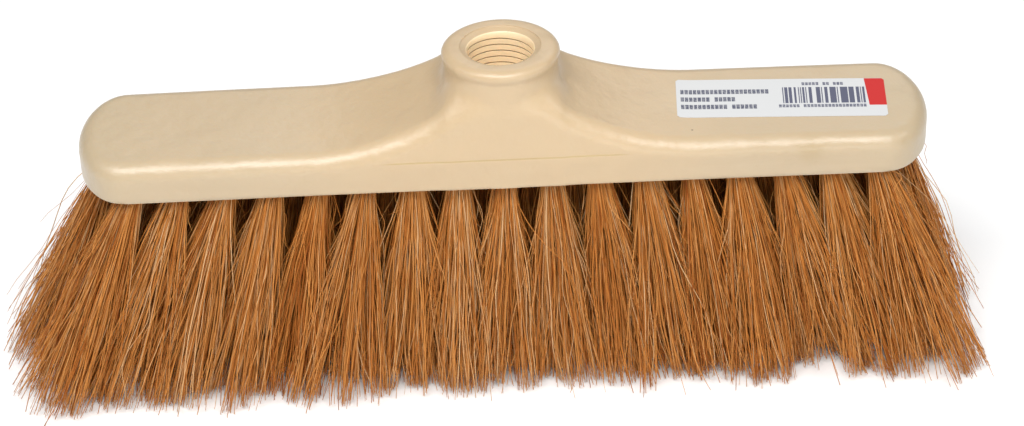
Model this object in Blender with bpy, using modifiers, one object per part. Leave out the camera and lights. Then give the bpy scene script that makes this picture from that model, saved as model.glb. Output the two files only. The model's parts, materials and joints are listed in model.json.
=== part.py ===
"""Push broom head: a moulded plastic block with a threaded handle socket, a paper label and coir tufts.

Metres, +Z up. The bristle tips stand on z = 0, the long side runs along X and the front faces -Y.
The socket leans back, towards +Y.
"""

import math

import bmesh
import bpy
from mathutils import Matrix

# Gap left between two pieces that touch on the real broom.
CLEARANCE = 0.0003

# Block: a slab with half-elliptical ends.
BLOCK_LENGTH = 0.290
BLOCK_DEPTH = 0.048
EDGE_HEIGHT = 0.0143
END_ROUND = 0.016
TOP_EDGE_RADIUS = 0.0039
LOWER_EDGE_RADIUS = 0.0008

# Hump: rises from the flat wings to the socket, and its front and back faces lean inwards.
WING_LENGTH = 0.079
HUMP_TOP_LENGTH = 0.018
HUMP_SHOULDER = 0.0012
HUMP_RIDGE_RADIUS = 0.004
HUMP_INSET = 0.0002

# Handle socket: a collar with a rounded bead at its rim, bored and threaded for a screw-in handle.
SOCKET_BORE_RADIUS = 0.0114
SOCKET_CHAMFER = 0.0023
SOCKET_CHAMFER_DEPTH = 0.0014
SOCKET_HEIGHT = 0.0425
SOCKET_LEAN = math.radians(5.8)
SOCKET_FLOOR = 0.0045
RIM_WIDTH = 0.0062
BEAD_HEIGHT = 0.0066
BEAD_STEP = 0.0008
BEAD_ROUND = 0.0022
THREAD_PITCH = 0.0023
THREAD_DEPTH = 0.0008
THREAD_MOUTH = 0.0010
THREAD_ROOT = 0.0005
THREAD_LEAD_IN = 0.0008

# Label stuck on the right wing.
LABEL_LENGTH = 0.0715
LABEL_WIDTH = 0.0217
LABEL_THICKNESS = 0.0003
LABEL_END_GAP = 0.014
LABEL_SHIFT = 0.0013
LABEL_TURN = math.radians(-2.3)

# Tufts: three staggered rows, each tuft set in its own blind hole.
TUFT_ROWS = 3
BRISTLE_HEIGHT = 0.080
TUFTS_IN_MIDDLE_ROW = 18
ROW_END_MARGIN = 0.012
ROW_SIDE_MARGIN = 0.008
HOLE_RADIUS = 0.0035
HOLE_FLOOR = 0.0043
END_FLARE = 0.026
SIDE_FLARE = 0.014
TUFT_GAP = 0.0006
TUFT_SPREAD = 0.75
TIP_SQUARENESS = 5.0

# How finely round shapes are cut into flats.
END_STEPS = 16
EDGE_SEGMENTS = 4
RIDGE_SEGMENTS = 3
LOWER_EDGE_SEGMENTS = 1
HUMP_STEPS = 9
COLLAR_STEPS = 48
THREAD_STEPS = 24
HOLE_SIDES = 12
TUFT_SIDES = 8
TUFT_LEVELS = (0.0, 0.25, 0.55, 1.0)

# Places that follow from the sizes above.
UNDERSIDE = BRISTLE_HEIGHT
WING_TOP = UNDERSIDE + EDGE_HEIGHT
HOLE_DEPTH = EDGE_HEIGHT - HOLE_FLOOR
SOCKET_DEPTH = SOCKET_HEIGHT - HOLE_DEPTH - SOCKET_FLOOR
COLLAR_RADIUS = SOCKET_BORE_RADIUS + SOCKET_CHAMFER + RIM_WIDTH
NECK_RADIUS = COLLAR_RADIUS - BEAD_STEP
HUMP_TOP = UNDERSIDE + SOCKET_HEIGHT - BEAD_HEIGHT - BEAD_STEP
HUMP_LENGTH = BLOCK_LENGTH - 2 * WING_LENGTH
HUMP_TOP_DEPTH = 2 * (NECK_RADIUS + HUMP_SHOULDER)
PITCH = (BLOCK_LENGTH - 2 * ROW_END_MARGIN) / (TUFTS_IN_MIDDLE_ROW - 1)
ROW_SPACING = BLOCK_DEPTH / 2 - ROW_SIDE_MARGIN
TUFT_ROOT_RADIUS = HOLE_RADIUS - CLEARANCE
TUFT_ROOT_DEPTH = HOLE_DEPTH - CLEARANCE
FAN_X = (BLOCK_LENGTH + 2 * END_FLARE) / (TUFTS_IN_MIDDLE_ROW * PITCH)
FAN_Y = (BLOCK_DEPTH + 2 * SIDE_FLARE) / (TUFT_ROWS * ROW_SPACING)

PLASTIC = ((0.76, 0.60, 0.38), 0.42)
PAPER = ((0.83, 0.86, 0.90), 0.38)
COIR = ((0.51, 0.22, 0.08), 0.75)


def clear_scene():
    for obj in list(bpy.data.objects):
        bpy.data.objects.remove(obj, do_unlink=True)


def new_collection(name):
    collection = bpy.data.collections.new(name)
    bpy.context.scene.collection.children.link(collection)
    return collection


def new_material(name, look):
    colour, roughness = look
    material = bpy.data.materials.new(name)
    material.use_nodes = True
    shader = material.node_tree.nodes["Principled BSDF"]
    shader.inputs["Base Color"].default_value = (*colour, 1.0)
    shader.inputs["Roughness"].default_value = roughness
    shader.inputs["Metallic"].default_value = 0.0
    return material


def new_object(name, bm, collection, material=None, sharp=math.radians(35)):
    """Turns a bmesh into an object, with its faces pointing out and its round parts shaded smooth."""
    bmesh.ops.recalc_face_normals(bm, faces=bm.faces)
    mesh = bpy.data.meshes.new(name)
    bm.to_mesh(mesh)
    bm.free()
    mesh.shade_smooth()
    mesh.set_sharp_from_angle(angle=sharp)
    obj = bpy.data.objects.new(name, mesh)
    collection.objects.link(obj)
    if material:
        mesh.materials.append(material)
    return obj


def new_helper(name, bm, helpers):
    """A solid that is only used in a Boolean."""
    obj = new_object(name, bm, helpers)
    obj.hide_render = True
    obj.display_type = "WIRE"
    return obj


def turned(name, profile, steps, frame, helpers):
    """A solid turned about its own Z axis: the profile runs down its outer side from axis to axis."""
    bm = bmesh.new()
    corners = [bm.verts.new((radius, 0.0, height)) for radius, height in profile]
    for upper, lower in zip(corners, corners[1:]):
        bm.edges.new((upper, lower))
    mesh = bpy.data.meshes.new(name)
    bm.to_mesh(mesh)
    bm.free()
    obj = bpy.data.objects.new(name, mesh)
    helpers.objects.link(obj)
    obj.matrix_world = frame
    screw = obj.modifiers.new("turn", "SCREW")
    screw.steps = steps
    screw.render_steps = steps
    screw.use_merge_vertices = True
    screw.merge_threshold = 0.00001
    obj.hide_render = True
    obj.display_type = "WIRE"
    return obj


def boolean(target, name, operation, tool):
    modifier = target.modifiers.new(name, "BOOLEAN")
    modifier.operation = operation
    modifier.solver = "EXACT"
    modifier.object = tool


def prism(outline, low, high):
    """An upright solid between two heights, from the corners of its plan."""
    bm = bmesh.new()
    floor = bm.faces.new([bm.verts.new((x, y, low)) for x, y in outline])
    raised = bmesh.ops.extrude_face_region(bm, geom=[floor])
    top = [part for part in raised["geom"] if isinstance(part, bmesh.types.BMVert)]
    bmesh.ops.translate(bm, verts=top, vec=(0.0, 0.0, high - low))
    return bm


def round_edges(bm, chosen, radius, segments):
    edges = [edge for edge in bm.edges if chosen(*edge.verts)]
    bmesh.ops.bevel(
        bm, geom=edges, offset=radius, offset_type="OFFSET", segments=segments, profile=0.5, affect="EDGES"
    )


def at_height(height):
    """Says whether both ends of an edge lie at this height."""
    return lambda a, b: abs(a.co.z - height) < 1e-6 and abs(b.co.z - height) < 1e-6


def block_outline():
    """The block's plan, anticlockwise: two straight sides and two half-elliptical ends."""
    corners = []
    for side in (1, -1):
        for step in range(END_STEPS + 1):
            turn = math.pi * (step / END_STEPS - 0.5)
            along = BLOCK_LENGTH / 2 - END_ROUND + END_ROUND * math.cos(turn)
            corners.append((side * along, side * BLOCK_DEPTH / 2 * math.sin(turn)))
    return corners


def hump_rise(x):
    """How far the hump stands above the wings at x: a hollow circular arc, then a level top."""
    run = HUMP_LENGTH / 2 - HUMP_TOP_LENGTH / 2
    rise = HUMP_TOP - WING_TOP
    radius = (run**2 + rise**2) / (2 * rise)
    along = min(max(HUMP_LENGTH / 2 - abs(x), 0.0), run)
    return radius - math.sqrt(radius**2 - along**2)


def socket_frame():
    """The socket's own axes: origin at the middle of the rim, +Z out of the mouth."""
    return Matrix.Translation((0.0, 0.0, UNDERSIDE + SOCKET_HEIGHT)) @ Matrix.Rotation(-SOCKET_LEAN, 4, "X")


def slab():
    bm = prism(block_outline(), UNDERSIDE, WING_TOP)
    round_edges(bm, at_height(WING_TOP), TOP_EDGE_RADIUS, EDGE_SEGMENTS)
    round_edges(bm, at_height(UNDERSIDE), LOWER_EDGE_RADIUS, LOWER_EDGE_SEGMENTS)
    return bm


def hump():
    """The arc of hump_rise drawn in the XZ plane and stretched along Y, with leaning front and back."""
    foot = UNDERSIDE + EDGE_HEIGHT / 2
    half_top = HUMP_TOP_LENGTH / 2
    half_length = HUMP_LENGTH / 2
    flank = [half_top + (half_length - half_top) * step / HUMP_STEPS for step in range(HUMP_STEPS)]
    right = [(x, WING_TOP + hump_rise(x)) for x in flank]
    right.append((half_length + TOP_EDGE_RADIUS, WING_TOP - TOP_EDGE_RADIUS / 2))
    right.append((half_length, foot))
    profile = right + [(-x, z) for x, z in reversed(right)]

    def half_depth(z):
        up = (z - foot) / (HUMP_TOP - foot)
        return (BLOCK_DEPTH / 2 - HUMP_INSET) * (1 - up) + HUMP_TOP_DEPTH / 2 * up

    bm = bmesh.new()
    front = [bm.verts.new((x, -half_depth(z), z)) for x, z in profile]
    back = [bm.verts.new((x, half_depth(z), z)) for x, z in profile]
    bm.faces.new(front)
    bm.faces.new(reversed(back))
    for index, corner in enumerate(front):
        bm.faces.new((front[index - 1], back[index - 1], back[index], corner))
    bmesh.ops.recalc_face_normals(bm, faces=bm.faces)

    def is_ridge(a, b):
        return a.co.y * b.co.y > 0 and min(a.co.z, b.co.z) > WING_TOP - TOP_EDGE_RADIUS

    round_edges(bm, is_ridge, HUMP_RIDGE_RADIUS, RIDGE_SEGMENTS)
    return bm


def collar_profile():
    """The collar's outer side, from the middle of the rim down to its foot inside the block."""
    rounding = [math.pi / 2 * step / EDGE_SEGMENTS for step in range(EDGE_SEGMENTS + 1)]
    bead = [
        (COLLAR_RADIUS - BEAD_ROUND * (1 - math.sin(turn)), -BEAD_ROUND * (1 - math.cos(turn)))
        for turn in rounding
    ]
    foot = -(SOCKET_HEIGHT - EDGE_HEIGHT + HOLE_FLOOR / 2)
    step = [(COLLAR_RADIUS, BEAD_STEP - BEAD_HEIGHT), (NECK_RADIUS, -BEAD_HEIGHT), (NECK_RADIUS, foot)]
    return [(0.0, 0.0)] + bead + step + [(0.0, foot)]


def bore_profile():
    """The plain bore with its chamfer, whose slope is carried on above the rim."""
    return [
        (0.0, SOCKET_CHAMFER_DEPTH),
        (SOCKET_BORE_RADIUS + 2 * SOCKET_CHAMFER, SOCKET_CHAMFER_DEPTH),
        (SOCKET_BORE_RADIUS, -SOCKET_CHAMFER_DEPTH),
        (SOCKET_BORE_RADIUS, -SOCKET_DEPTH),
        (0.0, -SOCKET_DEPTH),
    ]


def thread_groove():
    """One helical groove that is cut into the wall of the bore, right-handed."""
    first = -SOCKET_CHAMFER_DEPTH - THREAD_LEAD_IN
    turns = int((SOCKET_DEPTH + first - THREAD_PITCH) / THREAD_PITCH)
    inner = SOCKET_BORE_RADIUS - CLEARANCE
    outer = SOCKET_BORE_RADIUS + THREAD_DEPTH
    profile = (
        (inner, THREAD_MOUTH / 2),
        (outer, THREAD_ROOT / 2),
        (outer, -THREAD_ROOT / 2),
        (inner, -THREAD_MOUTH / 2),
    )
    bm = bmesh.new()
    face = bm.faces.new([bm.verts.new((radius, 0.0, first + height)) for radius, height in profile])
    bmesh.ops.spin(
        bm,
        geom=[face, *face.edges, *face.verts],
        cent=(0.0, 0.0, 0.0),
        axis=(0.0, 0.0, 1.0),
        dvec=(0.0, 0.0, -THREAD_PITCH / THREAD_STEPS),
        angle=-2 * math.pi * turns,
        steps=THREAD_STEPS * turns,
    )
    return bm


def tuft_roots():
    """The name and the hole of every tuft: the outer rows stand half a pitch beside the middle one."""
    rows = (
        ("front", -ROW_SPACING, TUFTS_IN_MIDDLE_ROW - 1),
        ("middle", 0.0, TUFTS_IN_MIDDLE_ROW),
        ("back", ROW_SPACING, TUFTS_IN_MIDDLE_ROW - 1),
    )
    for row, y, count in rows:
        for number in range(count):
            yield f"tuft_{row}_{number + 1:02}", (number - (count - 1) / 2) * PITCH, y


def tuft_holes():
    """All the blind holes as one cutter. Their flats clear the tufts by the clearance."""
    bm = bmesh.new()
    corner_radius = HOLE_RADIUS / math.cos(math.pi / HOLE_SIDES)
    for _, x, y in tuft_roots():
        bmesh.ops.create_cone(
            bm,
            cap_ends=True,
            segments=HOLE_SIDES,
            radius1=corner_radius,
            radius2=corner_radius,
            depth=2 * HOLE_DEPTH,
            matrix=Matrix.Translation((x, y, UNDERSIDE)),
        )
    return bm


def make_block(parts, helpers):
    plastic = new_material("block_plastic", PLASTIC)
    block = new_object("block", slab(), parts, plastic)
    collar = turned("collar", collar_profile(), COLLAR_STEPS, socket_frame(), helpers)
    bore = turned("bore", bore_profile(), COLLAR_STEPS, socket_frame(), helpers)
    groove = new_helper("groove", thread_groove(), helpers)
    groove.matrix_world = socket_frame()
    boolean(block, "add_hump", "UNION", new_helper("hump", hump(), helpers))
    boolean(block, "add_collar", "UNION", collar)
    boolean(block, "cut_bore", "DIFFERENCE", bore)
    boolean(block, "cut_thread", "DIFFERENCE", groove)
    boolean(block, "cut_tuft_holes", "DIFFERENCE", new_helper("tuft_holes", tuft_holes(), helpers))
    return block


def make_label(parts):
    """A flat strip that lies clear of the wing and of the foot of the hump."""
    half_length = LABEL_LENGTH / 2
    half_width = LABEL_WIDTH / 2
    outline = [(half_length, -half_width), (half_length, half_width)]
    outline += [(-half_length, half_width), (-half_length, -half_width)]
    bm = prism(outline, 0.0, LABEL_THICKNESS)
    label = new_object("label", bm, parts, new_material("label_paper", PAPER))
    x = BLOCK_LENGTH / 2 - LABEL_END_GAP - half_length
    lift = CLEARANCE + hump_rise(x - half_length)
    label.location = (x, LABEL_SHIFT, WING_TOP + lift)
    label.rotation_euler = (0.0, 0.0, LABEL_TURN)
    return label


def tuft_ring(bm, centre, half_size, squareness, height):
    """One cross-section of a tuft: a circle at 2, and nearer to a rectangle the higher the squareness."""
    x, y = centre
    widest = math.cos(math.pi / TUFT_SIDES) ** (2 / squareness)
    ring = []
    for side in range(TUFT_SIDES):
        turn = 2 * math.pi * (side + 0.5) / TUFT_SIDES
        reach = [
            math.copysign(abs(part) ** (2 / squareness), part) / widest
            for part in (math.cos(turn), math.sin(turn))
        ]
        ring.append(bm.verts.new((x + half_size[0] * reach[0], y + half_size[1] * reach[1], height)))
    return ring


def make_tuft(name, x, y, parts, coir):
    """A bundle that leaves its hole round and fans out to its share of the tip field."""
    lean = (x * (FAN_X - 1), y * (FAN_Y - 1))
    tip_size = (PITCH * FAN_X / 2 - TUFT_GAP / 2, ROW_SPACING * FAN_Y / 2 - TUFT_GAP / 2)
    flat = math.cos(math.pi / TUFT_SIDES)
    root_size = TUFT_ROOT_RADIUS * flat
    bm = bmesh.new()
    rings = [tuft_ring(bm, (0.0, 0.0), (root_size, root_size), 2.0, TUFT_ROOT_DEPTH)]
    for level in TUFT_LEVELS:
        spread = level**TUFT_SPREAD
        size = [root_size + (tip - root_size) * spread for tip in tip_size]
        centre = (lean[0] * level, lean[1] * level)
        squareness = 2.0 + (TIP_SQUARENESS - 2.0) * level
        rings.append(tuft_ring(bm, centre, size, squareness, -BRISTLE_HEIGHT * level))
    bm.faces.new(rings[0])
    bm.faces.new(reversed(rings[-1]))
    for upper, lower in zip(rings, rings[1:]):
        for index, corner in enumerate(upper):
            bm.faces.new((upper[index - 1], lower[index - 1], lower[index], corner))
    tuft = new_object(name, bm, parts, coir)
    tuft.location = (x, y, UNDERSIDE)
    return tuft


def make_broom_head():
    clear_scene()
    parts = new_collection("push_broom")
    helpers = new_collection("cutters")
    head = bpy.data.objects.new("broom_head", None)
    parts.objects.link(head)
    coir = new_material("tuft_coir", COIR)
    pieces = [make_block(parts, helpers), make_label(parts)]
    pieces += [make_tuft(name, x, y, parts, coir) for name, x, y in tuft_roots()]
    for piece in pieces:
        piece.parent = head


make_broom_head()
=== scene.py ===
"""Looks of the broom head: a smooth moulded block, a printed label and tufts of single coir fibres."""

import json
import math

import bmesh
import bpy
import numpy as np
from mathutils import Matrix, Vector


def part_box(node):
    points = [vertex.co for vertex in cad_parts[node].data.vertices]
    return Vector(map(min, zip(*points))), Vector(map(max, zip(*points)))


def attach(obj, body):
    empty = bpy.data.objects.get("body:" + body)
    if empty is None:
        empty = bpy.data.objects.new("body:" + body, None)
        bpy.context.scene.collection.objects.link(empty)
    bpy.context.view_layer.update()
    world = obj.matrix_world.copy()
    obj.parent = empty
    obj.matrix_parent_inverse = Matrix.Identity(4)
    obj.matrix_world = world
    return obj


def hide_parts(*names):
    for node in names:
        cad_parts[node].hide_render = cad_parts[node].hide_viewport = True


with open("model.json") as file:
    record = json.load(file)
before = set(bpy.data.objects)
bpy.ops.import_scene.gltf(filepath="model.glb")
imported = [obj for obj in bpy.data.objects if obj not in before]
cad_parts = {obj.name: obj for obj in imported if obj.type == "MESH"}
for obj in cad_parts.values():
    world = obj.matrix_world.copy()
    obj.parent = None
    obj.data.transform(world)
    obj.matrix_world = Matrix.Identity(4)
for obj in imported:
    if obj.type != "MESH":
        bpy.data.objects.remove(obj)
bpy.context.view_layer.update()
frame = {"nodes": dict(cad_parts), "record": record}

MM = 0.001
mounts = {mount["name"]: mount for mount in frame["record"]["mounts"]}

# Places that the frame gives.
block_low, block_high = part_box("block")
LENGTH = block_high.x - block_low.x
DEPTH = block_high.y - block_low.y
UNDERSIDE = block_low.z
RIM_AXIS = np.array(mounts["socket_rim"]["axis"], float)
RIM_CENTRE = np.array([0.0, 0.0, mounts["socket_rim"]["pos_m"][2]])

# Shape of the block. It follows the CAD block, with rounder edges, bowed wings and a softer hump.
END_HEIGHT = 13.9 * MM
WING_BOW = 1.0 * MM
END_ROUND = 16.0 * MM
EDGE_RADIUS = 5.5 * MM
LOWER_RADIUS = 0.8 * MM
HUMP_HALF_LENGTH = 67.0 * MM
HUMP_ARC_RADIUS = 93.3 * MM
HUMP_TOP = 32.2 * MM
HUMP_TOP_BLEND = 4.0 * MM
PANEL_START = 11.5 * MM
PANEL_SOFTNESS = 2.4 * MM
PANEL_LEAN = 0.20

# Collar and socket, along and around the leaning axis.
COLLAR_RADIUS = 20.0 * MM
NECK_RADIUS = 19.3 * MM
BEAD_HEIGHT = 5.0 * MM
BEAD_ROUND = 2.4 * MM
NECK_START = -BEAD_HEIGHT + 0.3 * MM
NECK_BLEND = 1.0 * MM
DEEPEST_FOOT = -26.0 * MM
RIM_CROWN = 3.6 * MM
BORE_RADIUS = 11.4 * MM
CHAMFER = 2.3 * MM
CHAMFER_DEPTH = 1.4 * MM
SOCKET_DEPTH = 28.0 * MM
THREAD_PITCH = 2.3 * MM
THREAD_LEAD_IN = 0.8 * MM
# Corners of the thread's groove, in millimetres: outwards from the wall, and up the axis.
GROOVE_PROFILE = (
    (-0.3, 0.30),
    (0.06, 0.25),
    (0.50, 0.19),
    (0.62, 0.0),
    (0.50, -0.19),
    (0.06, -0.27),
    (-0.3, -0.34),
)
# The fillet between neck and body is smallest in front and behind, and largest on the diagonals.
FRONT_FILLET = 2.6 * MM
SIDE_FILLET = 1.2 * MM
DIAGONAL_FILLET = 9.0 * MM

# Tuft holes, less deep than the CAD block's. The fibres start 2 to 5 mm inside them.
HOLE_RADIUS = 3.5 * MM
HOLE_DEPTH = 8.0 * MM

# Where the two halves of the mould met on the front and back.
PARTING_HEIGHT = 12.0 * MM
PARTING_HALF_LENGTH = 44.0 * MM
PARTING_FADE = 12.0 * MM
PARTING_STEP = 0.20 * MM
PARTING_SOFTNESS = 0.25 * MM
# A small pit in the right wing and a faint stain on its front edge.
PIT_PLACE = (63.6 * MM, -15.2 * MM, UNDERSIDE + 14.6 * MM)
STAIN_PLACE = (103 * MM, -23.0 * MM, UNDERSIDE + 10.5 * MM)

# Fineness of the block's mesh.
COLUMNS = 512
ROWS = 84

# Colours as linear red, green and blue.
WARM_LIGHT = (1.0, 0.99, 0.97)
LOW_LIGHT = (1.0, 0.98, 0.95)
COOL_LIGHT = (0.95, 0.97, 1.0)
CREAM_DARK = (0.468, 0.358, 0.226)
CREAM_LIGHT = (0.503, 0.388, 0.248)
CREAM_STREAK = (0.53, 0.425, 0.29)
CREAM_ENDS = (0.46, 0.378, 0.25)
CREAM_MIDDLE = (0.545, 0.399, 0.238)
# Painted light on the lands of the bore's wall.
BORE_PAINTED_LIGHT = (0.93, 0.74, 0.48)
# Painted shade in the thread's groove.
GROOVE_PAINTED_SHADE = (0.40, 0.26, 0.13)
SPECK_BROWN = (0.47, 0.35, 0.21)
STAIN_BROWN = (0.42, 0.31, 0.17)
PIT_BROWN = (0.20, 0.15, 0.09)
SEAM_BROWN = (0.42, 0.30, 0.13)
COIR_SHADES = (
    (0.05, (0.32, 0.085, 0.010)),
    (0.35, (0.54, 0.190, 0.033)),
    (0.65, (0.62, 0.272, 0.071)),
    (0.95, (0.68, 0.425, 0.215)),
)
# Painted shade at the roots of the middle row.
COIR_IN_SHADE = (0.06, 0.02, 0.008)
LABEL_WHITE = (0.582, 0.588, 0.593)
LARGE_PRINT = (0.03, 0.035, 0.08)
SMALL_PRINT = (0.03, 0.035, 0.09)
STRIPE_INK = (0.04, 0.045, 0.10)
LABEL_RED = (0.50, 0.020, 0.018)
FLOOR_DARK = (0.93, 0.935, 0.94)
FLOOR_LIGHT = (0.95, 0.955, 0.96)

# The label's print, in millimetres from its lower left corner: left, right, low, high.
LARGE_LINES = ((1.4, 31.7, 13.3, 15.8), (1.4, 20.1, 9.0, 11.5), (1.4, 27.4, 4.7, 7.2))
SMALL_LINES = ((43.1, 57.5, 17.9, 19.6), (34.7, 64.6, 5.2, 6.9))
STRIPES = (36.0, 64.5, 7.6, 16.8)
RED_PATCH = (66.0, 73.2, 6.2, 21.6)
LARGE_PITCH = 1.45
SMALL_PITCH = 1.2
STRIPE_WIDTH = 0.36
LABEL_CORNER = 0.9 * MM
LABEL_GAP = 0.03 * MM
LABEL_TOP = 0.14 * MM

# Fibres.
ROOT_RADIUS = 3.0 * MM
LOCKS = 24
WIDEST_Y = 43.0 * MM
WIDEST_SOFTNESS = 4.0 * MM
LOWEST = 0.3 * MM
TUBE_SIDES = 3
FIRST_SEED = 1000
# The outer rows fan out to the ends a little more than the CAD tufts do.
OUTER_ROW_LEAN = 1.04
# The tips at the right end stand nearer to the middle than those at the left end.
RIGHT_END_LEAN = 0.935


def new_object(name, mesh):
    obj = bpy.data.objects.new(name, mesh)
    bpy.context.scene.collection.objects.link(obj)
    return obj


def mesh_from_arrays(name, points, faces):
    """A mesh from an array of points and a list of faces (tuples or rows of indices)."""
    mesh = bpy.data.meshes.new(name)
    mesh.from_pydata(np.asarray(points).tolist(), [], faces)
    mesh.update()
    return mesh


# ---------------------------------------------------------------- camera, light and stage


def make_camera():
    """Looks at the head from the front and 38 degrees above, a little turned and rolled."""
    azimuth = math.radians(-0.73)
    height = math.radians(38.07)
    roll = -0.035
    distance = 1.1765
    target = Vector((2.0 * MM, 0.0, UNDERSIDE - 29.4 * MM))
    outwards = Vector((math.sin(azimuth), -math.cos(azimuth), 0.0))
    back = outwards * math.cos(height) + Vector((0.0, 0.0, math.sin(height)))
    level = Vector((math.cos(azimuth), math.sin(azimuth), 0.0))
    upright = back.cross(level)
    right = math.cos(roll) * level + math.sin(roll) * upright
    up = back.cross(right)
    data = bpy.data.cameras.new("camera")
    data.sensor_width = 36.0
    data.lens = 118.5
    camera = bpy.data.objects.new("camera", data)
    bpy.context.scene.collection.objects.link(camera)
    turn = Matrix((right, up, back)).transposed().to_4x4()
    camera.matrix_world = Matrix.Translation(target + back * distance) @ turn
    bpy.context.scene.camera = camera
    bpy.context.scene.view_settings.view_transform = "Standard"


def area_light(name, place, size, power, colour):
    """A rectangular light that aims at the middle of the head."""
    data = bpy.data.lights.new(name, "AREA")
    data.shape = "RECTANGLE"
    data.size, data.size_y = size
    data.energy = power
    data.color = colour
    light = bpy.data.objects.new(name, data)
    bpy.context.scene.collection.objects.link(light)
    light.location = place
    aim = Vector((0.0, 0.0, 0.08))
    light.rotation_euler = (aim - Vector(place)).to_track_quat("-Z", "Y").to_euler()


def make_lights():
    area_light("key", (-0.12, -0.66, 1.36), (1.4, 0.75), 19.5, WARM_LIGHT)
    area_light("core", (-0.08, -0.62, 1.20), (1.1, 0.36), 4.4, WARM_LIGHT)
    area_light("left", (-1.15, -0.20, 1.05), (0.35, 0.5), 2.0, WARM_LIGHT)
    area_light("right", (1.15, -0.20, 1.05), (0.35, 0.5), 2.5, WARM_LIGHT)
    area_light("low_front", (0.35, -1.5, 0.40), (1.0, 0.4), 4.5, LOW_LIGHT)
    area_light("rear", (0.3, 1.2, 1.0), (1.2, 0.6), 3.0, COOL_LIGHT)
    world = bpy.data.worlds.new("world")
    world.use_nodes = True
    background = world.node_tree.nodes["Background"]
    background.inputs["Color"].default_value = (*COOL_LIGHT, 1.0)
    background.inputs["Strength"].default_value = 0.28
    bpy.context.scene.world = world


# ---------------------------------------------------------------- materials


class Nodes:
    """A short way to write a node tree."""

    def __init__(self, name):
        self.material = bpy.data.materials.new(name)
        self.material.use_nodes = True
        self.tree = self.material.node_tree
        self.shader = self.tree.nodes["Principled BSDF"]

    def add(self, kind, **settings):
        node = self.tree.nodes.new(kind)
        for key, value in settings.items():
            setattr(node, key, value)
        return node

    def put(self, socket, value):
        """Links a socket to the value, or sets it to a constant."""
        if isinstance(value, bpy.types.NodeSocket):
            self.tree.links.new(value, socket)
        else:
            socket.default_value = value

    def object_place(self):
        return self.add("ShaderNodeTexCoord").outputs["Object"]

    def attribute(self, name):
        return self.add("ShaderNodeAttribute", attribute_name=name).outputs["Fac"]

    def separate(self, vector):
        node = self.add("ShaderNodeSeparateXYZ")
        self.put(node.inputs[0], vector)
        return node.outputs["X"], node.outputs["Y"], node.outputs["Z"]

    def maths(self, operation, a, b=0.0):
        node = self.add("ShaderNodeMath", operation=operation)
        self.put(node.inputs[0], a)
        self.put(node.inputs[1], b)
        return node.outputs[0]

    def noise(self, where, scale, detail=2.0, roughness=0.5):
        node = self.add("ShaderNodeTexNoise")
        self.put(node.inputs["Vector"], where)
        node.inputs["Scale"].default_value = scale
        node.inputs["Detail"].default_value = detail
        node.inputs["Roughness"].default_value = roughness
        return node.outputs["Fac"]

    def stretch(self, where, scale):
        node = self.add("ShaderNodeMapping")
        self.put(node.inputs["Vector"], where)
        node.inputs["Scale"].default_value = scale
        return node.outputs[0]

    def ramp(self, value, *stops):
        """A colour ramp from (position, colour) stops."""
        node = self.add("ShaderNodeValToRGB")
        self.put(node.inputs["Fac"], value)
        points = node.color_ramp.elements
        while len(points) < len(stops):
            points.new(0.5)
        for point, (position, colour) in zip(points, stops):
            point.position = position
            point.color = (*colour, 1.0)
        return node.outputs["Color"]

    def fade(self, value, low, high, start=0.0, end=1.0):
        """Goes smoothly from start to end as the value goes from low to high."""
        node = self.add("ShaderNodeMapRange", interpolation_type="SMOOTHSTEP")
        self.put(node.inputs["Value"], value)
        node.inputs["From Min"].default_value = low
        node.inputs["From Max"].default_value = high
        node.inputs["To Min"].default_value = start
        node.inputs["To Max"].default_value = end
        return node.outputs["Result"]

    def mix(self, share, a, b):
        """Colour a, with a share of colour b."""
        node = self.add("ShaderNodeMix", data_type="RGBA")
        self.put(node.inputs["Factor"], share)
        for socket, value in ((node.inputs[6], a), (node.inputs[7], b)):
            self.put(socket, value if isinstance(value, bpy.types.NodeSocket) else (*value, 1.0))
        return node.outputs[2]

    def spot(self, where, place, radius, softness):
        """1 within the radius of a place on the surface, fading to 0 over the softness."""
        node = self.add("ShaderNodeVectorMath", operation="DISTANCE")
        self.put(node.inputs[0], where)
        node.inputs[1].default_value = place
        return self.fade(node.outputs["Value"], radius, radius + softness, 1.0, 0.0)

    def bump(self, height, strength, distance, base=None):
        node = self.add("ShaderNodeBump")
        self.put(node.inputs["Height"], height)
        node.inputs["Strength"].default_value = strength
        node.inputs["Distance"].default_value = distance
        if base is not None:
            self.put(node.inputs["Normal"], base)
        return node.outputs["Normal"]


def moulded_cream(n, where):
    """Cloudy cream with faint streaks, warmer in the middle of the block and greyer at its ends."""
    x, _, _ = n.separate(where)
    from_middle = n.maths("ABSOLUTE", x)
    clouds = n.noise(where, 14.0, 3.0, 0.55)
    streaks = n.noise(n.stretch(where, (8.0, 60.0, 90.0)), 1.0, 4.0, 0.6)
    colour = n.ramp(clouds, (0.3, CREAM_DARK), (0.7, CREAM_LIGHT))
    colour = n.mix(n.fade(streaks, 0.45, 0.75, 0.0, 0.35), colour, CREAM_STREAK)
    colour = n.mix(n.fade(from_middle, 0.11, 0.145, 0.0, 0.35), colour, CREAM_ENDS)
    return n.mix(n.fade(from_middle, 0.03, 0.09, 0.75, 0.0), colour, CREAM_MIDDLE)


def parting_seam(n, where):
    """The share of the seam's colour on the parting line."""
    x, _, z = n.separate(where)
    off_seam = n.maths("ABSOLUTE", n.maths("SUBTRACT", z, UNDERSIDE + PARTING_HEIGHT))
    line = n.fade(off_seam, 0.12 * MM, 0.35 * MM, 0.8, 0.0)
    middle = n.fade(n.maths("ABSOLUTE", x), 36.0 * MM, 44.0 * MM, 1.0, 0.0)
    return n.maths("MULTIPLY", line, middle)


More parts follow.
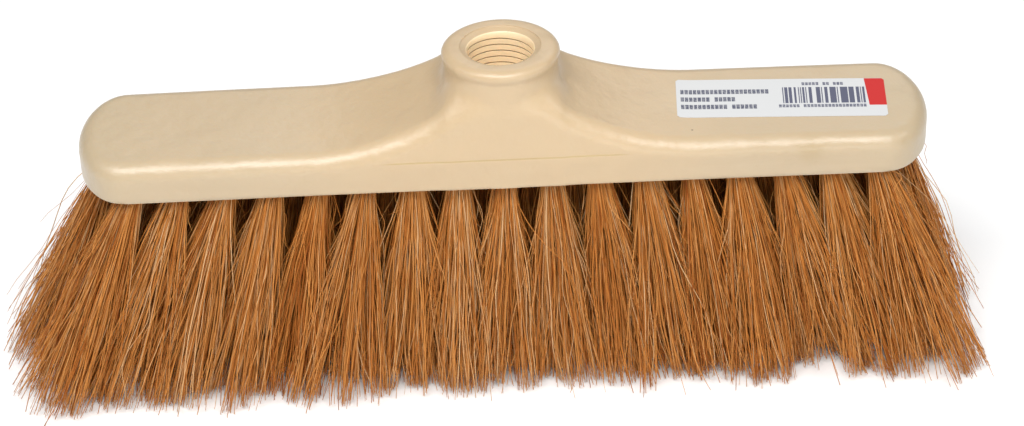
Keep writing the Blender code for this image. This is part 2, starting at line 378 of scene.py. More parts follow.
def plastic_normal(n, where):
    """The uneven skin of the moulding, from broad swells to fine grain."""
    swell = n.bump(n.noise(where, 60.0, 3.0), 0.75, 1.2 * MM)
    dimples = n.bump(n.noise(where, 210.0, 2.0), 0.30, 0.5 * MM, swell)
    flow = n.stretch(where, (150.0, 420.0, 420.0))
    drawn = n.bump(n.noise(flow, 1.0, 3.0), 0.07, 0.3 * MM, dimples)
    return n.bump(n.noise(where, 600.0, 3.0), 0.30, 0.3 * MM, drawn)


def plastic_material():
    n = Nodes("cream_plastic")
    where = n.object_place()
    colour = moulded_cream(n, where)
    # Painted light on the bore's wall, where the socket attribute is set.
    colour = n.mix(n.attribute("socket"), colour, BORE_PAINTED_LIGHT)
    # Painted shade in the thread's groove, where the groove attribute is set.
    colour = n.mix(n.attribute("groove"), colour, GROOVE_PAINTED_SHADE)
    specks = n.fade(n.noise(where, 420.0, 1.0), 0.765, 0.79, 0.0, 0.35)
    colour = n.mix(specks, colour, SPECK_BROWN)
    stain = n.spot(where, STAIN_PLACE, 1.0 * MM, 6.0 * MM)
    colour = n.mix(n.maths("MULTIPLY", stain, 0.6), colour, STAIN_BROWN)
    colour = n.mix(n.spot(where, PIT_PLACE, 0.25 * MM, 0.3 * MM), colour, PIT_BROWN)
    colour = n.mix(parting_seam(n, where), colour, SEAM_BROWN)
    normal = plastic_normal(n, where)
    n.put(n.shader.inputs["Base Color"], colour)
    n.put(n.shader.inputs["Roughness"], n.fade(n.noise(where, 60.0, 3.0), 0.3, 0.7, 0.34, 0.46))
    n.put(n.shader.inputs["Normal"], normal)
    n.put(n.shader.inputs["Coat Normal"], normal)
    n.shader.inputs["Coat Weight"].default_value = 0.45
    n.shader.inputs["Coat Roughness"].default_value = 0.34
    n.shader.inputs["Subsurface Weight"].default_value = 0.08
    n.shader.inputs["Subsurface Radius"].default_value = (4.0 * MM, 2.0 * MM, 1.0 * MM)
    return n.material


def coir_material():
    """Each fibre carries a tone, which changes in patches along it. Tones near and below 0 turn dark; the
    painted shade at the roots of the middle row takes tones below 0.
    """
    n = Nodes("coir_fibre")
    patches = n.noise(n.stretch(n.object_place(), (260.0, 260.0, 60.0)), 1.0, 2.0)
    change = n.maths("MULTIPLY", n.maths("SUBTRACT", patches, 0.5), 0.45)
    shade = n.maths("ADD", n.attribute("tone"), change)
    colour = n.ramp(shade, *COIR_SHADES)
    darker = n.fade(shade, -0.45, 0.05, 0.85, 0.0)
    n.put(n.shader.inputs["Base Color"], n.mix(darker, colour, COIR_IN_SHADE))
    n.put(n.shader.inputs["Roughness"], n.fade(patches, 0.3, 0.7, 0.45, 0.62))
    n.shader.inputs["Specular IOR Level"].default_value = 0.2
    return n.material


def floor_material():
    n = Nodes("pale_floor")
    clouds = n.noise(n.object_place(), 3.0)
    n.put(n.shader.inputs["Base Color"], n.ramp(clouds, (0.3, FLOOR_DARK), (0.7, FLOOR_LIGHT)))
    n.shader.inputs["Roughness"].default_value = 0.7
    return n.material


# ---------------------------------------------------------------- block


def smooth_min(a, b, reach):
    near = np.maximum(reach - np.abs(a - b), 0.0) / reach
    return np.minimum(a, b) - near * near * reach / 4


def round_max(a, b, radius):
    """The inside of both a and b, with the edge between them rounded."""
    outside = np.hypot(np.maximum(a + radius, 0.0), np.maximum(b + radius, 0.0))
    return np.minimum(np.maximum(a, b) + radius, 0.0) + outside - radius


def soft_step(value, softness):
    return 0.5 * (value + np.sqrt(value * value + softness * softness))


def top_height(x):
    """Height of the top above the underside: bowed wings, and a hollow arc that rises to a level top."""
    wing = END_HEIGHT + WING_BOW * (1 - (2 * x / LENGTH) ** 2)
    along = np.clip(HUMP_HALF_LENGTH - np.abs(x), 0.0, HUMP_ARC_RADIUS)
    arc = wing + HUMP_ARC_RADIUS - np.sqrt(HUMP_ARC_RADIUS**2 - along**2)
    return smooth_min(arc, HUMP_TOP, HUMP_TOP_BLEND)


def plan_distance(x, y, half_depth):
    """Distance to the block's plan: straight sides and half-elliptical ends."""
    past = np.maximum(np.abs(x) - (LENGTH / 2 - END_ROUND), 0.0)
    u = past / END_ROUND
    v = y / half_depth
    size = np.maximum(np.hypot(u, v), 1e-6)
    slope = np.hypot(u / END_ROUND, v / half_depth) / size
    return (size - 1) / slope


def body_distance(p):
    """Distance to the slab with its hump, whose front and back lean inwards above the parting line."""
    x, y, z = p[:, 0], p[:, 1], p[:, 2] - UNDERSIDE
    lean = PANEL_LEAN * soft_step(z - PANEL_START, PANEL_SOFTNESS)
    above = np.clip((z - PARTING_HEIGHT) / PARTING_SOFTNESS + 0.5, 0.0, 1.0)
    middle = np.clip((PARTING_HALF_LENGTH - np.abs(x)) / PARTING_FADE, 0.0, 1.0)
    sides = plan_distance(x, y, DEPTH / 2 - lean - PARTING_STEP * above * middle)
    step = 0.2 * MM
    slope = (top_height(x + step) - top_height(x - step)) / (2 * step)
    top = (z - top_height(x)) / np.sqrt(1 + slope**2)
    return round_max(sides, top, EDGE_RADIUS)


def socket_place(p):
    """Distance from the socket's axis, and distance along it from the rim (negative inside the block)."""
    offset = p - RIM_CENTRE
    along = offset @ RIM_AXIS
    radial = np.linalg.norm(offset - along[:, None] * RIM_AXIS, axis=1)
    return radial, along


def block_distance(p):
    """Distance to the whole block without its socket and holes."""
    radial, along = socket_place(p)
    neck = np.maximum(radial - NECK_RADIUS, along + BEAD_HEIGHT / 2)
    bead_level = np.abs(along + BEAD_HEIGHT / 2) - BEAD_HEIGHT / 2
    bead = round_max(radial - COLLAR_RADIUS, bead_level, BEAD_ROUND)
    side_share = np.clip(np.abs(p[:, 0]) / NECK_RADIUS, 0.0, 1.0)
    front_share = np.clip(np.abs(p[:, 1]) / NECK_RADIUS, 0.0, 1.0)
    fillet = FRONT_FILLET + side_share**2 * (SIDE_FILLET + DIAGONAL_FILLET * front_share)
    joined = smooth_min(body_distance(p), neck, fillet)
    joined = smooth_min(joined, bead, NECK_BLEND)
    return round_max(joined, UNDERSIDE - p[:, 2], LOWER_RADIUS)


def onto_surface(p, rounds=12):
    """Moves points along the slope of block_distance until they lie on its surface."""
    step = 0.05 * MM
    flattest = 0.05
    share = 0.8
    for _ in range(rounds):
        here = block_distance(p)
        changes = [block_distance(p + step * axis) - block_distance(p - step * axis) for axis in np.eye(3)]
        slope = np.stack(changes, axis=1) / (2 * step)
        size = np.maximum((slope**2).sum(1), flattest)
        p = p - share * (here / size)[:, None] * slope
    return p


def outline_points(count):
    """Points at equal steps round the block's plan, from +X towards +Y."""
    fine = 400
    turns = np.linspace(0, math.pi / 2, fine)
    reach = LENGTH / 2 - END_ROUND
    end = np.stack([reach + END_ROUND * np.cos(turns), DEPTH / 2 * np.sin(turns)], axis=1)
    side = np.stack([np.linspace(reach, 0, fine)[1:], np.full(fine - 1, DEPTH / 2)], axis=1)
    quarter = np.concatenate([end, side])
    half = np.concatenate([quarter, (quarter[::-1] * (-1, 1))[1:]])
    whole = np.concatenate([half, (half[::-1] * (1, -1))[1:]])
    distance = np.concatenate([[0], np.cumsum(np.linalg.norm(np.diff(whole, axis=0), axis=1))])
    wanted = np.linspace(0, distance[-1], count, endpoint=False)
    return np.stack([np.interp(wanted, distance, whole[:, axis]) for axis in (0, 1)], axis=1)


def round_axis(turns):
    """Directions square to the socket's axis, one for each turn from +X towards the rear."""
    side = np.array([1.0, 0.0, 0.0])
    rear = np.cross(RIM_AXIS, side)
    return np.cos(turns)[:, None] * side + np.sin(turns)[:, None] * rear


def socket_ring(radius, along, turns):
    return RIM_CENTRE + radius * round_axis(turns) + along * RIM_AXIS


def collar_feet(turns):
    """How far along the axis each column of the collar sinks into the body."""
    levels = np.linspace(-BEAD_HEIGHT / 2, DEEPEST_FOOT, 240)
    inside = np.zeros(len(turns), bool)
    foot = np.full(len(turns), levels[-1])
    for level in levels:
        radius = COLLAR_RADIUS if level > NECK_START else NECK_RADIUS
        now = (body_distance(socket_ring(radius, level, turns)) < 0) & ~inside
        foot[now] = level
        inside |= now
    return foot


def collar_path(turn, foot):
    """Points down the side of the bead, and of the neck where it shows, to the collar's foot."""
    path = [socket_ring(COLLAR_RADIUS, -BEAD_HEIGHT / 2, turn)]
    if foot > NECK_START:
        path.append(socket_ring(COLLAR_RADIUS, foot, turn))
    else:
        path.append(socket_ring(COLLAR_RADIUS, -BEAD_HEIGHT + 0.8 * MM, turn))
        path.append(socket_ring(NECK_RADIUS, -BEAD_HEIGHT - 0.2 * MM, turn))
        path.append(socket_ring(NECK_RADIUS, foot, turn))
    return np.concatenate(path)


def top_path(base, edge):
    """Points over the top from the collar's foot to the edge, each height found by halving."""
    near_edge = 1 - 0.1 * (1 - np.linspace(0, 1, 80)[1:]) ** 2
    shares = np.concatenate([np.linspace(0, 0.9, 120), near_edge])
    plan = base[:2] + shares[1:, None] * (edge - base[:2])
    low = np.full(len(plan), UNDERSIDE + 2 * MM)
    high = np.full(len(plan), UNDERSIDE + 45 * MM)
    for _ in range(20):
        middle = (low + high) / 2
        solid = body_distance(np.column_stack([plan, middle])) < 0
        low = np.where(solid, middle, low)
        high = np.where(solid, high, middle)
    heights = np.minimum(low, base[2])
    return np.column_stack([plan, heights])[heights > UNDERSIDE + 2.5 * MM]


def edge_path(edge):
    """Points down the edge of the block and a little way in under it."""
    inwards = -edge / np.linalg.norm(edge)
    under = edge + inwards * 1.6 * MM
    return np.array([(*edge, UNDERSIDE + LOWER_RADIUS), (*edge, UNDERSIDE), (*under, UNDERSIDE)])


def spaced(path, rows):
    """The path in that many points, further apart on the flat wings than near the collar and the edge."""
    steps = np.linalg.norm(np.diff(path, axis=0), axis=1)
    middle = (path[1:] + path[:-1]) / 2
    from_edge = np.abs(plan_distance(middle[:, 0], middle[:, 1], DEPTH / 2))
    radial, _ = socket_place(middle)
    flat = np.minimum(np.maximum(from_edge - 6 * MM, 0), np.maximum(radial - 34 * MM, 0))
    spacing = np.minimum(0.55 * MM + 0.10 * flat, 2.6 * MM)
    weight = np.concatenate([[0], np.cumsum(steps / spacing)])
    wanted = np.linspace(0, weight[-1], rows)
    return np.stack([np.interp(wanted, weight, path[:, axis]) for axis in range(3)], axis=1)


def outer_rings(turns):
    """Rings of the outer surface, from the side of the bead out over the top and down to the underside."""
    outline = outline_points(len(turns))
    feet = collar_feet(turns)
    result = np.empty((ROWS, len(turns), 3))
    for column, foot in enumerate(feet):
        collar = collar_path(turns[column : column + 1], foot)
        edge = outline[column]
        path = np.concatenate([collar, top_path(collar[-1], edge), edge_path(edge)])
        result[:, column] = spaced(path, ROWS)
    moved = onto_surface(result.reshape(-1, 3)).reshape(result.shape)
    moved[0], moved[-1] = result[0], result[-1]
    moved[-1, :, 2] = UNDERSIDE
    return moved


def rim_rings(turns):
    """Rings from the bottom of the bore up its wall, over the chamfer and the rim, to the bead's side."""
    wall_top = -CHAMFER_DEPTH - 0.25 * MM
    wall_height = SOCKET_DEPTH + wall_top
    lip = BORE_RADIUS + CHAMFER
    crown = COLLAR_RADIUS - RIM_CROWN
    profile = [(BORE_RADIUS, -SOCKET_DEPTH + wall_height * share) for share in (0, 0.02, 0.25, 0.5, 0.75, 1)]
    profile += [
        (BORE_RADIUS + 0.15 * MM, -CHAMFER_DEPTH),
        (BORE_RADIUS + 0.4 * MM, -CHAMFER_DEPTH + 0.18 * MM),
        (lip - 0.30 * MM, -0.55 * MM),
        (lip - 0.10 * MM, -0.44 * MM),
        (lip - 0.02 * MM, -0.36 * MM),
        (lip, -0.14 * MM),
        (lip + 0.05 * MM, -0.05 * MM),
        (lip + 0.16 * MM, -0.01 * MM),
        (lip + 0.5 * MM, 0.01 * MM),
        ((lip + crown) / 2, 0.01 * MM),
    ]
    for turn in np.linspace(0, math.pi / 2, 10):
        profile.append((crown + RIM_CROWN * math.sin(turn), -BEAD_ROUND * (1 - math.cos(turn))))
    return [socket_ring(radius, along, turns) for radius, along in profile]


def grid_faces(rows, columns):
    here = np.arange(columns)
    after = (here + 1) % columns
    faces = []
    for row in range(rows - 1):
        a, b = row * columns, (row + 1) * columns
        faces.append(np.stack([a + here, b + here, b + after, a + after], axis=1))
    return np.concatenate(faces).tolist()


def groove_radius(reach, sunk):
    """Radius of a corner of the groove, whose outer part is 0.1 mm inside the wall where it isn't sunk."""
    if reach > 0:
        reach = reach * sunk - 0.1 * (1 - sunk)
    return BORE_RADIUS + reach * MM


def groove_cutter(bm):
    """A rounded helical groove round the wall of the bore, which deepens over a quarter turn at each end."""
    steps_per_turn = 72
    turns = int((SOCKET_DEPTH - CHAMFER_DEPTH - 2 * THREAD_PITCH) / THREAD_PITCH)
    steps = steps_per_turn * turns
    outwards = round_axis(-2 * math.pi * np.arange(steps + 1) / steps_per_turn)
    rings = []
    for step, out in enumerate(outwards):
        along = -CHAMFER_DEPTH - THREAD_LEAD_IN - THREAD_PITCH * step / steps_per_turn
        sunk = min(min(step, steps - step) / (steps_per_turn * 0.25), 1.0)
        ring = []
        for reach, height in GROOVE_PROFILE:
            corner = RIM_CENTRE + groove_radius(reach, sunk) * out + (along + height * MM) * RIM_AXIS
            ring.append(bm.verts.new(corner))
        rings.append(ring)
    for a, b in zip(rings, rings[1:]):
        for index, corner in enumerate(a):
            bm.faces.new((a[index - 1], corner, b[index], b[index - 1]))
    bm.faces.new(rings[0][::-1])
    bm.faces.new(rings[-1])


def tuft_nodes():
    return [name for name in sorted(frame["nodes"]) if name.startswith("tuft_")]


def corners_of(mesh):
    corners = np.empty(len(mesh.vertices) * 3, np.float32)
    mesh.vertices.foreach_get("co", corners)
    return corners.reshape(-1, 3).astype(float)


def tuft_places(name):
    """Root centre, tip centre and tip half sizes of a CAD tuft."""
    corners = corners_of(frame["nodes"][name].data)
    root = corners[corners[:, 2] > UNDERSIDE - 0.1 * MM]
    tip = corners[corners[:, 2] < 0.1 * MM]
    low, high = tip.min(0), tip.max(0)
    return (root.min(0) + root.max(0))[:2] / 2, (low + high)[:2] / 2, (high - low)[:2] / 2


def hole_cutters(bm):
    for name in tuft_nodes():
        root, _, _ = tuft_places(name)
        bmesh.ops.create_cone(
            bm,
            cap_ends=True,
            segments=28,
            radius1=HOLE_RADIUS,
            radius2=HOLE_RADIUS,
            depth=2 * HOLE_DEPTH,
            matrix=Matrix.Translation((*root, UNDERSIDE)),
        )


def cut(obj, make_cutter):
    """Takes the shapes that make_cutter adds out of the object."""
    bm = bmesh.new()
    make_cutter(bm)
    bmesh.ops.recalc_face_normals(bm, faces=bm.faces)
    mesh = bpy.data.meshes.new("cutter")
    bm.to_mesh(mesh)
    bm.free()
    cutter = new_object("cutter", mesh)
    modifier = obj.modifiers.new("cut", "BOOLEAN")
    modifier.operation = "DIFFERENCE"
    modifier.solver = "EXACT"
    modifier.object = cutter
    bpy.context.view_layer.update()
    graph = bpy.context.evaluated_depsgraph_get()
    result = bpy.data.meshes.new_from_object(obj.evaluated_get(graph))
    obj.modifiers.clear()
    obj.data = result
    bpy.data.objects.remove(cutter)


def closed_block_mesh():
    """The block before its thread and tuft holes are cut."""
    turns = np.linspace(0, 2 * math.pi, COLUMNS, endpoint=False)
    rings = rim_rings(turns)
    points = np.concatenate([*rings, *outer_rings(turns)[1:]])
    total = len(rings) + ROWS - 1
    faces = grid_faces(total, COLUMNS)
    faces.append(list(range(COLUMNS)))
    faces.append(list(range((total - 1) * COLUMNS, total * COLUMNS))[::-1])
    mesh = mesh_from_arrays("moulded_block", points, faces)
    bm = bmesh.new()
    bm.from_mesh(mesh)
    bmesh.ops.recalc_face_normals(bm, faces=bm.faces)
    bm.to_mesh(mesh)
    bm.free()
    return mesh


def mark_points(mesh, name, values):
    attribute = mesh.attributes.new(name, "FLOAT", "POINT")
    attribute.data.foreach_set("value", values.astype(np.float32))


def make_block():
    block = new_object("moulded_block", closed_block_mesh())
    cut(block, groove_cutter)
    cut(block, hole_cutters)
    block.data.shade_smooth()
    block.data.set_sharp_from_angle(angle=math.radians(40))
    radial, along = socket_place(corners_of(block.data))
    within = (radial < BORE_RADIUS + 1.0 * MM) & (along < -CHAMFER_DEPTH + 0.1 * MM)
    in_groove = within & (radial > BORE_RADIUS + 0.3 * MM)
    # The socket mark carries painted light on the bore's wall, between the groove's turns.
    mark_points(block.data, "socket", within & ~in_groove)
    # The groove mark carries painted shade in the thread's groove.
    mark_points(block.data, "groove", in_groove)
    block.data.materials.clear()
    block.data.materials.append(plastic_material())
    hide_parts("block")
    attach(block, "root")


# ---------------------------------------------------------------- label


class LabelNodes(Nodes):
    """A node tree whose u and v are places on the label, in millimetres from its lower left corner."""

    def __init__(self, name):
        super().__init__(name)
        print_map = self.add("ShaderNodeUVMap", uv_map="print").outputs[0]
        self.u, self.v, _ = self.separate(print_map)

    def both(self, a, b):
        return self.maths("MULTIPLY", a, b)

    def rectangle(self, left, right, low, high, slant=0.0):
        """1 inside a rectangle, which leans to the left by the slant, and 0 outside it."""
        u = self.maths("ADD", self.u, self.maths("MULTIPLY", self.v, slant)) if slant else self.u
        across = self.both(self.maths("GREATER_THAN", u, left), self.maths("LESS_THAN", u, right))
        upright = self.both(self.maths("GREATER_THAN", self.v, low), self.maths("LESS_THAN", self.v, high))
        return self.both(across, upright)

    def random_cells(self, width, seed, height=None):
        """A random value for each cell of u, or of u and v."""
        column = self.maths("ADD", self.maths("FLOOR", self.maths("DIVIDE", self.u, width)), seed)
        node = self.add("ShaderNodeTexWhiteNoise", noise_dimensions="2D")
        cell = self.add("ShaderNodeCombineXYZ")
        self.put(cell.inputs[0], column)
        if height is not None:
            self.put(cell.inputs[1], self.maths("FLOOR", self.maths("DIVIDE", self.v, height)))
        self.put(node.inputs["Vector"], cell.outputs[0])
        return node.outputs["Value"]

    def blocks(self, pitch, seed):
        """Plain mottled blocks in place of letters, with gaps between them and between words."""
        letter = self.maths("LESS_THAN", self.maths("FRACT", self.maths("DIVIDE", self.u, pitch)), 0.80)
        word = self.maths("GREATER_THAN", self.random_cells(pitch, seed), 0.13)
        cells = self.random_cells(pitch / 4, seed + 50.0, 0.6)
        mottle = self.fade(cells, 0.2, 0.8, 0.72, 0.95)
        return self.both(self.both(letter, word), mottle)


def label_material():
    """White film with lines of plain blocks, stripes with no meaning and a red patch."""
    n = LabelNodes("label_print")
    colour = LABEL_WHITE
    for left, right, low, high in LARGE_LINES:
        mask = n.both(n.rectangle(left, right, low, high), n.blocks(LARGE_PITCH, low))
        colour = n.mix(n.maths("MULTIPLY", mask, 0.95), colour, LARGE_PRINT)
    stripes = n.maths("GREATER_THAN", n.random_cells(STRIPE_WIDTH, 7.0), 0.5)
    mask = n.both(n.rectangle(*STRIPES), stripes)
    colour = n.mix(n.maths("MULTIPLY", mask, 0.9), colour, STRIPE_INK)
    for left, right, low, high in SMALL_LINES:
        mask = n.both(n.rectangle(left, right, low, high), n.blocks(SMALL_PITCH, high))
        colour = n.mix(n.maths("MULTIPLY", mask, 0.9), colour, SMALL_PRINT)
    colour = n.mix(n.rectangle(*RED_PATCH, slant=0.06), colour, LABEL_RED)
    n.put(n.shader.inputs["Base Color"], colour)
    n.shader.inputs["Roughness"].default_value = 0.45
    n.shader.inputs["Specular IOR Level"].default_value = 0.25
    return n.material


def label_frame():
    """Middle, direction, width and height of the CAD label, seen from above."""
    corners = np.unique(np.round(corners_of(frame["nodes"]["label"].data)[:, :2], 7), axis=0)
    by_x = corners[np.argsort(corners[:, 0])]
    left, right = by_x[:2], by_x[2:]
    across = right.mean(0) - left.mean(0)
    width = np.linalg.norm(across)
    across /= width
    upward = np.array([-across[1], across[0]])
    height = abs((left[0] - left[1]) @ upward)
    return corners.mean(0), across, upward, width, height


def label_points(columns, rows):
    """Points of the film's underside and then of its top, row by row, with their places on the print."""
    centre, across, upward, width, height = label_frame()
    points, places = [], []
    for layer in (LABEL_GAP, LABEL_TOP):
        for row in range(rows):
            v = height * (row / (rows - 1) - 0.5)
            past = max(abs(v) - (height / 2 - LABEL_CORNER), 0.0)
            half = width / 2 - LABEL_CORNER + math.sqrt(max(LABEL_CORNER**2 - past**2, 0.0))
            for column in range(columns):
                u = 2 * half * (column / (columns - 1) - 0.5)
                x, y = centre + u * across + v * upward
                points.append((x, y, UNDERSIDE + top_height(np.float64(x)) + layer))
                places.append(((u + width / 2) / MM, (v + height / 2) / MM))
    return points, places


def label_faces(columns, rows):
    def at(layer, row, column):
        return (layer * rows + row) * columns + column

    faces = []
    for row in range(rows - 1):
        for column in range(columns - 1):
            quad = [(row, column), (row, column + 1), (row + 1, column + 1), (row + 1, column)]
            faces.append([at(1, *place) for place in quad])
            faces.append([at(0, *place) for place in reversed(quad)])
    border = [(0, column) for column in range(columns)]
    border += [(row, columns - 1) for row in range(1, rows)]
    border += [(rows - 1, column) for column in range(columns - 2, -1, -1)]
    border += [(row, 0) for row in range(rows - 2, 0, -1)]
    for place, following in zip(border, border[1:] + border[:1]):
        faces.append([at(0, *place), at(0, *following), at(1, *following), at(1, *place)])
    return faces


def make_label():
    """A thin film that follows the wing. Its outline is the CAD label's, with slightly rounded corners."""
    columns, rows = 73, 23
    points, places = label_points(columns, rows)
    mesh = mesh_from_arrays("sticker", points, label_faces(columns, rows))
    loops = np.empty(len(mesh.loops), np.int32)
    mesh.loops.foreach_get("vertex_index", loops)
    print_map = mesh.uv_layers.new(name="print")
    print_map.data.foreach_set("uv", np.array(places, np.float32)[loops].ravel())
    mesh.shade_smooth()
    mesh.set_sharp_from_angle(angle=math.radians(40))
    mesh.materials.append(label_material())
    sticker = new_object("sticker", mesh)
    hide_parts("label")
    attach(sticker, "root")


# ---------------------------------------------------------------- tufts


def waves(rng, count, t, size, cycles):
    """Sideways waves that are still at the root, one pair of directions for each fibre."""
    phase = rng.uniform(0, 2 * math.pi, (count, 1, 2))
    height = size[:, None, None] * rng.normal(0, 1, (count, 1, 2)) / cycles
    sweep = np.sin(2 * math.pi * cycles * t[None, :, None] + phase) - np.sin(phase)
    return height * sweep * np.minimum(t * 2.5, 1.0)[None, :, None]


def fibre_paths(rng, count, points, root, tip, half_size, swing, ends):
    """Centre lines of fibres that leave one hole and fan out, as an array of fibre, point, xyz."""
    radius = ROOT_RADIUS * np.sqrt(rng.random(count))
    angle = 2 * math.pi * rng.random(count)
    offset = np.stack([radius * np.cos(angle), radius * np.sin(angle)], axis=1)
    # The place in the square of tips that matches the fibre's place in the round hole.
    own = offset * (radius / np.abs(offset).max(axis=1))[:, None] / ROOT_RADIUS
    # Fibres gather in locks: each leans towards the tip of a lock that stands near its own.
    lock_tip = rng.uniform(-1.12, 1.12, (LOCKS, 2))
    lock_end = rng.uniform(0, 1.9 * MM, LOCKS)
    apart = own[:, None] - lock_tip[None] + rng.normal(0, 0.28, (count, LOCKS, 2))
    lock = np.argmin((apart**2).sum(axis=2), axis=1)
    pull = rng.uniform(0.15, 0.85, (count, 1))
    gathered = own + pull * (lock_tip[lock] - own)
    spread = half_size * (1.38, 1.08)
    reach = gathered * spread + rng.uniform(-1.6 * MM, 1.6 * MM, (count, 2))
    closing = 0.55 * (lock_tip[lock] - gathered) * spread
    start = UNDERSIDE + rng.uniform(2 * MM, 5 * MM, count)
    end = ends(rng, count) + lock_end[lock]
    t = np.linspace(0, 1, points)
    paths = np.empty((count, points, 3))
    first = root + offset
    last = tip + reach
    bend = rng.uniform(0.85, 1.12, count)[:, None, None]
    paths[..., :2] = first[:, None] + (last - first)[:, None] * t[None, :, None] ** bend
    # Over the last third of their length the fibres of a lock draw together.
    paths[..., :2] += closing[:, None] * (np.clip((t - 0.65) / 0.35, 0, 1) ** 2)[None, :, None]
    paths[..., 2] = start[:, None] + (end - start)[:, None] * t
    for cycles in (0.5, 1.2, 2.6):
        paths[..., :2] += waves(rng, count, t, swing * rng.uniform(0.4, 1.3, count), cycles)
    y = paths[..., 1]
    past = np.maximum(np.abs(y) - WIDEST_Y, 0.0)
    paths[..., 1] = y + np.sign(y) * (WIDEST_SOFTNESS * np.tanh(past / WIDEST_SOFTNESS) - past)
    paths[..., 2] = np.maximum(paths[..., 2], LOWEST)
    return paths


def tubes(rng, paths, thickness):
    """Points and faces of thin three-sided tubes round the centre lines, closed at both ends."""
    count, length, _ = paths.shape
    tangent = np.gradient(paths, axis=1)
    tangent /= np.linalg.norm(tangent, axis=2, keepdims=True)
    turn = rng.uniform(0, 2 * math.pi, count)
    aside = np.stack([np.cos(turn), np.sin(turn), np.zeros(count)], axis=1)[:, None]
    first = np.cross(tangent, aside)
    first /= np.linalg.norm(first, axis=2, keepdims=True)
    second = np.cross(tangent, first)
    radius = rng.uniform(*thickness, count) / 2
    taper = np.interp(np.linspace(0, 1, length), (0, 0.9, 1), (1.0, 0.96, 0.75))
    size = radius[:, None] * taper[None]
    points = np.empty((count, length, TUBE_SIDES, 3))
    for side in range(TUBE_SIDES):
        around = 2 * math.pi * side / TUBE_SIDES
        spoke = math.cos(around) * first + math.sin(around) * second
        points[:, :, side] = paths + size[..., None] * spoke
    index = np.arange(count * length * TUBE_SIDES).reshape(count, length, TUBE_SIDES)
    after = np.roll(index, -1, axis=2)
    quads = np.stack([index[:, :-1], after[:, :-1], after[:, 1:], index[:, 1:]], axis=-1).reshape(-1, 4)
    caps = np.concatenate([index[:, 0, ::-1], index[:, -1]])
    return points.reshape(-1, 3), quads, caps


def fibre_tones(rng, count, length, tone, root_shade):
    """A tone for each point: one for each fibre, less the shade near the root."""
    fibre = np.clip(rng.normal(tone, 0.2, count), 0, 1)
    shade = root_shade * np.clip(1 - np.linspace(0, 1, length) / 0.4, 0, 1)
    return np.repeat(fibre[:, None] - shade[None], TUBE_SIDES, axis=1).ravel()


def fibre_mesh(name, rng, groups, tuft_tone, root_shade):
    """One mesh of all the tubes of a tuft, with a tone at each point."""
    points, quads, caps, tones = [], [], [], []
    offset = 0
    for paths, thickness, lighter in groups:
        count, length, _ = paths.shape
        made, made_quads, made_caps = tubes(rng, paths, thickness)
        points.append(made)
        quads.append(made_quads + offset)
        caps.append(made_caps + offset)
        tones.append(fibre_tones(rng, count, length, tuft_tone + lighter, root_shade))
        offset += len(made)
    points, quads, caps, tones = (np.concatenate(parts) for parts in (points, quads, caps, tones))
    corners = np.concatenate([quads.ravel(), caps.ravel()])
    quad_starts = np.arange(len(quads)) * 4
    cap_starts = quads.size + np.arange(len(caps)) * TUBE_SIDES
    mesh = bpy.data.meshes.new(name)
    mesh.vertices.add(len(points))
    mesh.vertices.foreach_set("co", points.astype(np.float32).ravel())
    mesh.loops.add(len(corners))
    mesh.loops.foreach_set("vertex_index", corners.astype(np.int32))
    mesh.polygons.add(len(quads) + len(caps))
    mesh.polygons.foreach_set("loop_start", np.concatenate([quad_starts, cap_starts]).astype(np.int32))
    mesh.update(calc_edges=True)
    mark_points(mesh, "tone", tones)
    mesh.shade_smooth()
    return mesh


def level_ends(rng, count):
    """Heights of tips that stand on the floor or just above it."""
    return LOWEST + np.abs(rng.normal(0, 0.9 * MM, count))


def short_ends(rng, count):
    return rng.uniform(3 * MM, 26 * MM, count)


def high_ends(rng, count):
    """Heights of the tips of short fibres that end not far below the block."""
    return UNDERSIDE - rng.uniform(12 * MM, 38 * MM, count)


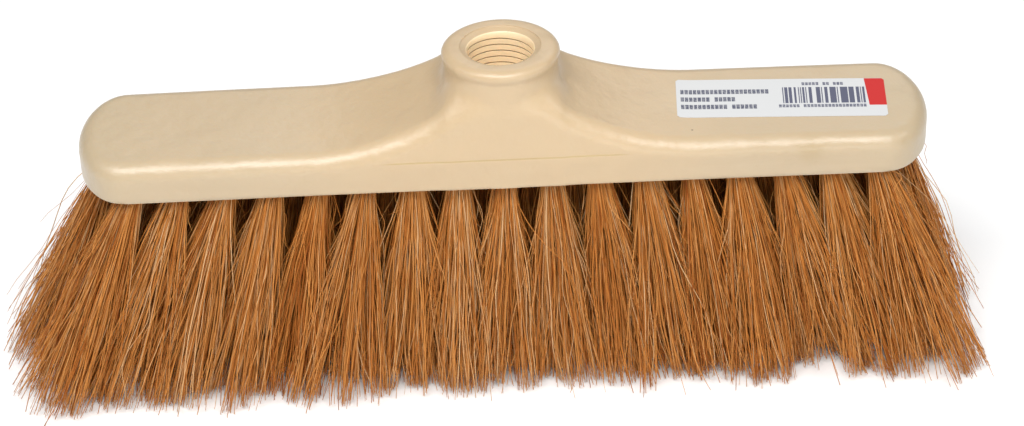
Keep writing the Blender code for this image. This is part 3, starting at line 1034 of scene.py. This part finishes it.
def fibre_groups(rng, root, tip, half_size):
    """The kinds of fibre in one tuft, each as paths, a range of thickness and how much lighter it is."""
    # Curly and crossing fibres stay closer together at the ends of the head.
    free = np.clip((LENGTH / 2 - 8 * MM - abs(root[0])) / (40 * MM), 0, 1)
    fan = (root, tip, half_size)
    crossing = (root, tip, half_size * (1.15 + 0.85 * free, 1.05))
    near_root = (root, root + 0.35 * (tip - root), (0.25 + 0.5 * free) * half_size)
    # Count, points along, place, swing, tips, thickness and lightness, with swing and thickness in mm.
    kinds = (
        (430, 12, fan, 0.75, level_ends, (0.24, 0.44), 0.0),
        (24, 10, fan, 1.0, short_ends, (0.18, 0.32), 0.0),
        (9, 26, fan, 1.0 + 1.7 * free, level_ends, (0.18, 0.34), 0.1),
        (10, 14, crossing, 1.2, level_ends, (0.24, 0.42), 0.2),
        (6, 16, near_root, 1.2, high_ends, (0.14, 0.26), 0.0),
    )
    groups = []
    for count, points, place, swing, ends, (thin, thick), lighter in kinds:
        paths = fibre_paths(rng, count, points, *place, swing * MM, ends)
        groups.append((paths, (thin * MM, thick * MM), lighter))
    return groups


def make_tuft(number, name, coir):
    rng = np.random.default_rng(FIRST_SEED + number)
    root, tip, half_size = tuft_places(name)
    in_middle = "middle" in name
    lean = 1.0 if in_middle else OUTER_ROW_LEAN
    lean *= 1 + (RIGHT_END_LEAN - 1) * np.clip(tip[0] / (LENGTH / 2), 0, 1)
    tip = tip * (lean, 1.0) + rng.normal(0, 1.0, 2) * (2.0 * MM, 1.2 * MM)
    half_size = half_size * rng.uniform(0.9, 1.15, 2)
    groups = fibre_groups(rng, root, tip, half_size)
    # The roots of the middle row get painted shade, except at the ends of the head.
    root_shade = 0.0
    if in_middle:
        root_shade = 0.6 * np.clip((LENGTH / 2 - 15 * MM - abs(root[0])) / (20 * MM), 0, 1)
    mesh = fibre_mesh("fibres_" + name, rng, groups, rng.normal(0.5, 0.05), root_shade)
    mesh.materials.append(coir)
    fibres = new_object("fibres_" + name, mesh)
    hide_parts(name)
    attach(fibres, "root")


def make_tufts():
    coir = coir_material()
    for number, name in enumerate(tuft_nodes()):
        make_tuft(number, name, coir)


# ---------------------------------------------------------------- all together


def make_floor():
    bm = bmesh.new()
    bmesh.ops.create_grid(bm, x_segments=8, y_segments=8, size=3.0)
    mesh = bpy.data.meshes.new("floor")
    bm.to_mesh(mesh)
    bm.free()
    mesh.materials.append(floor_material())
    floor = new_object("floor", mesh)


make_camera()
make_lights()
make_floor()
make_block()
make_label()
make_tufts()
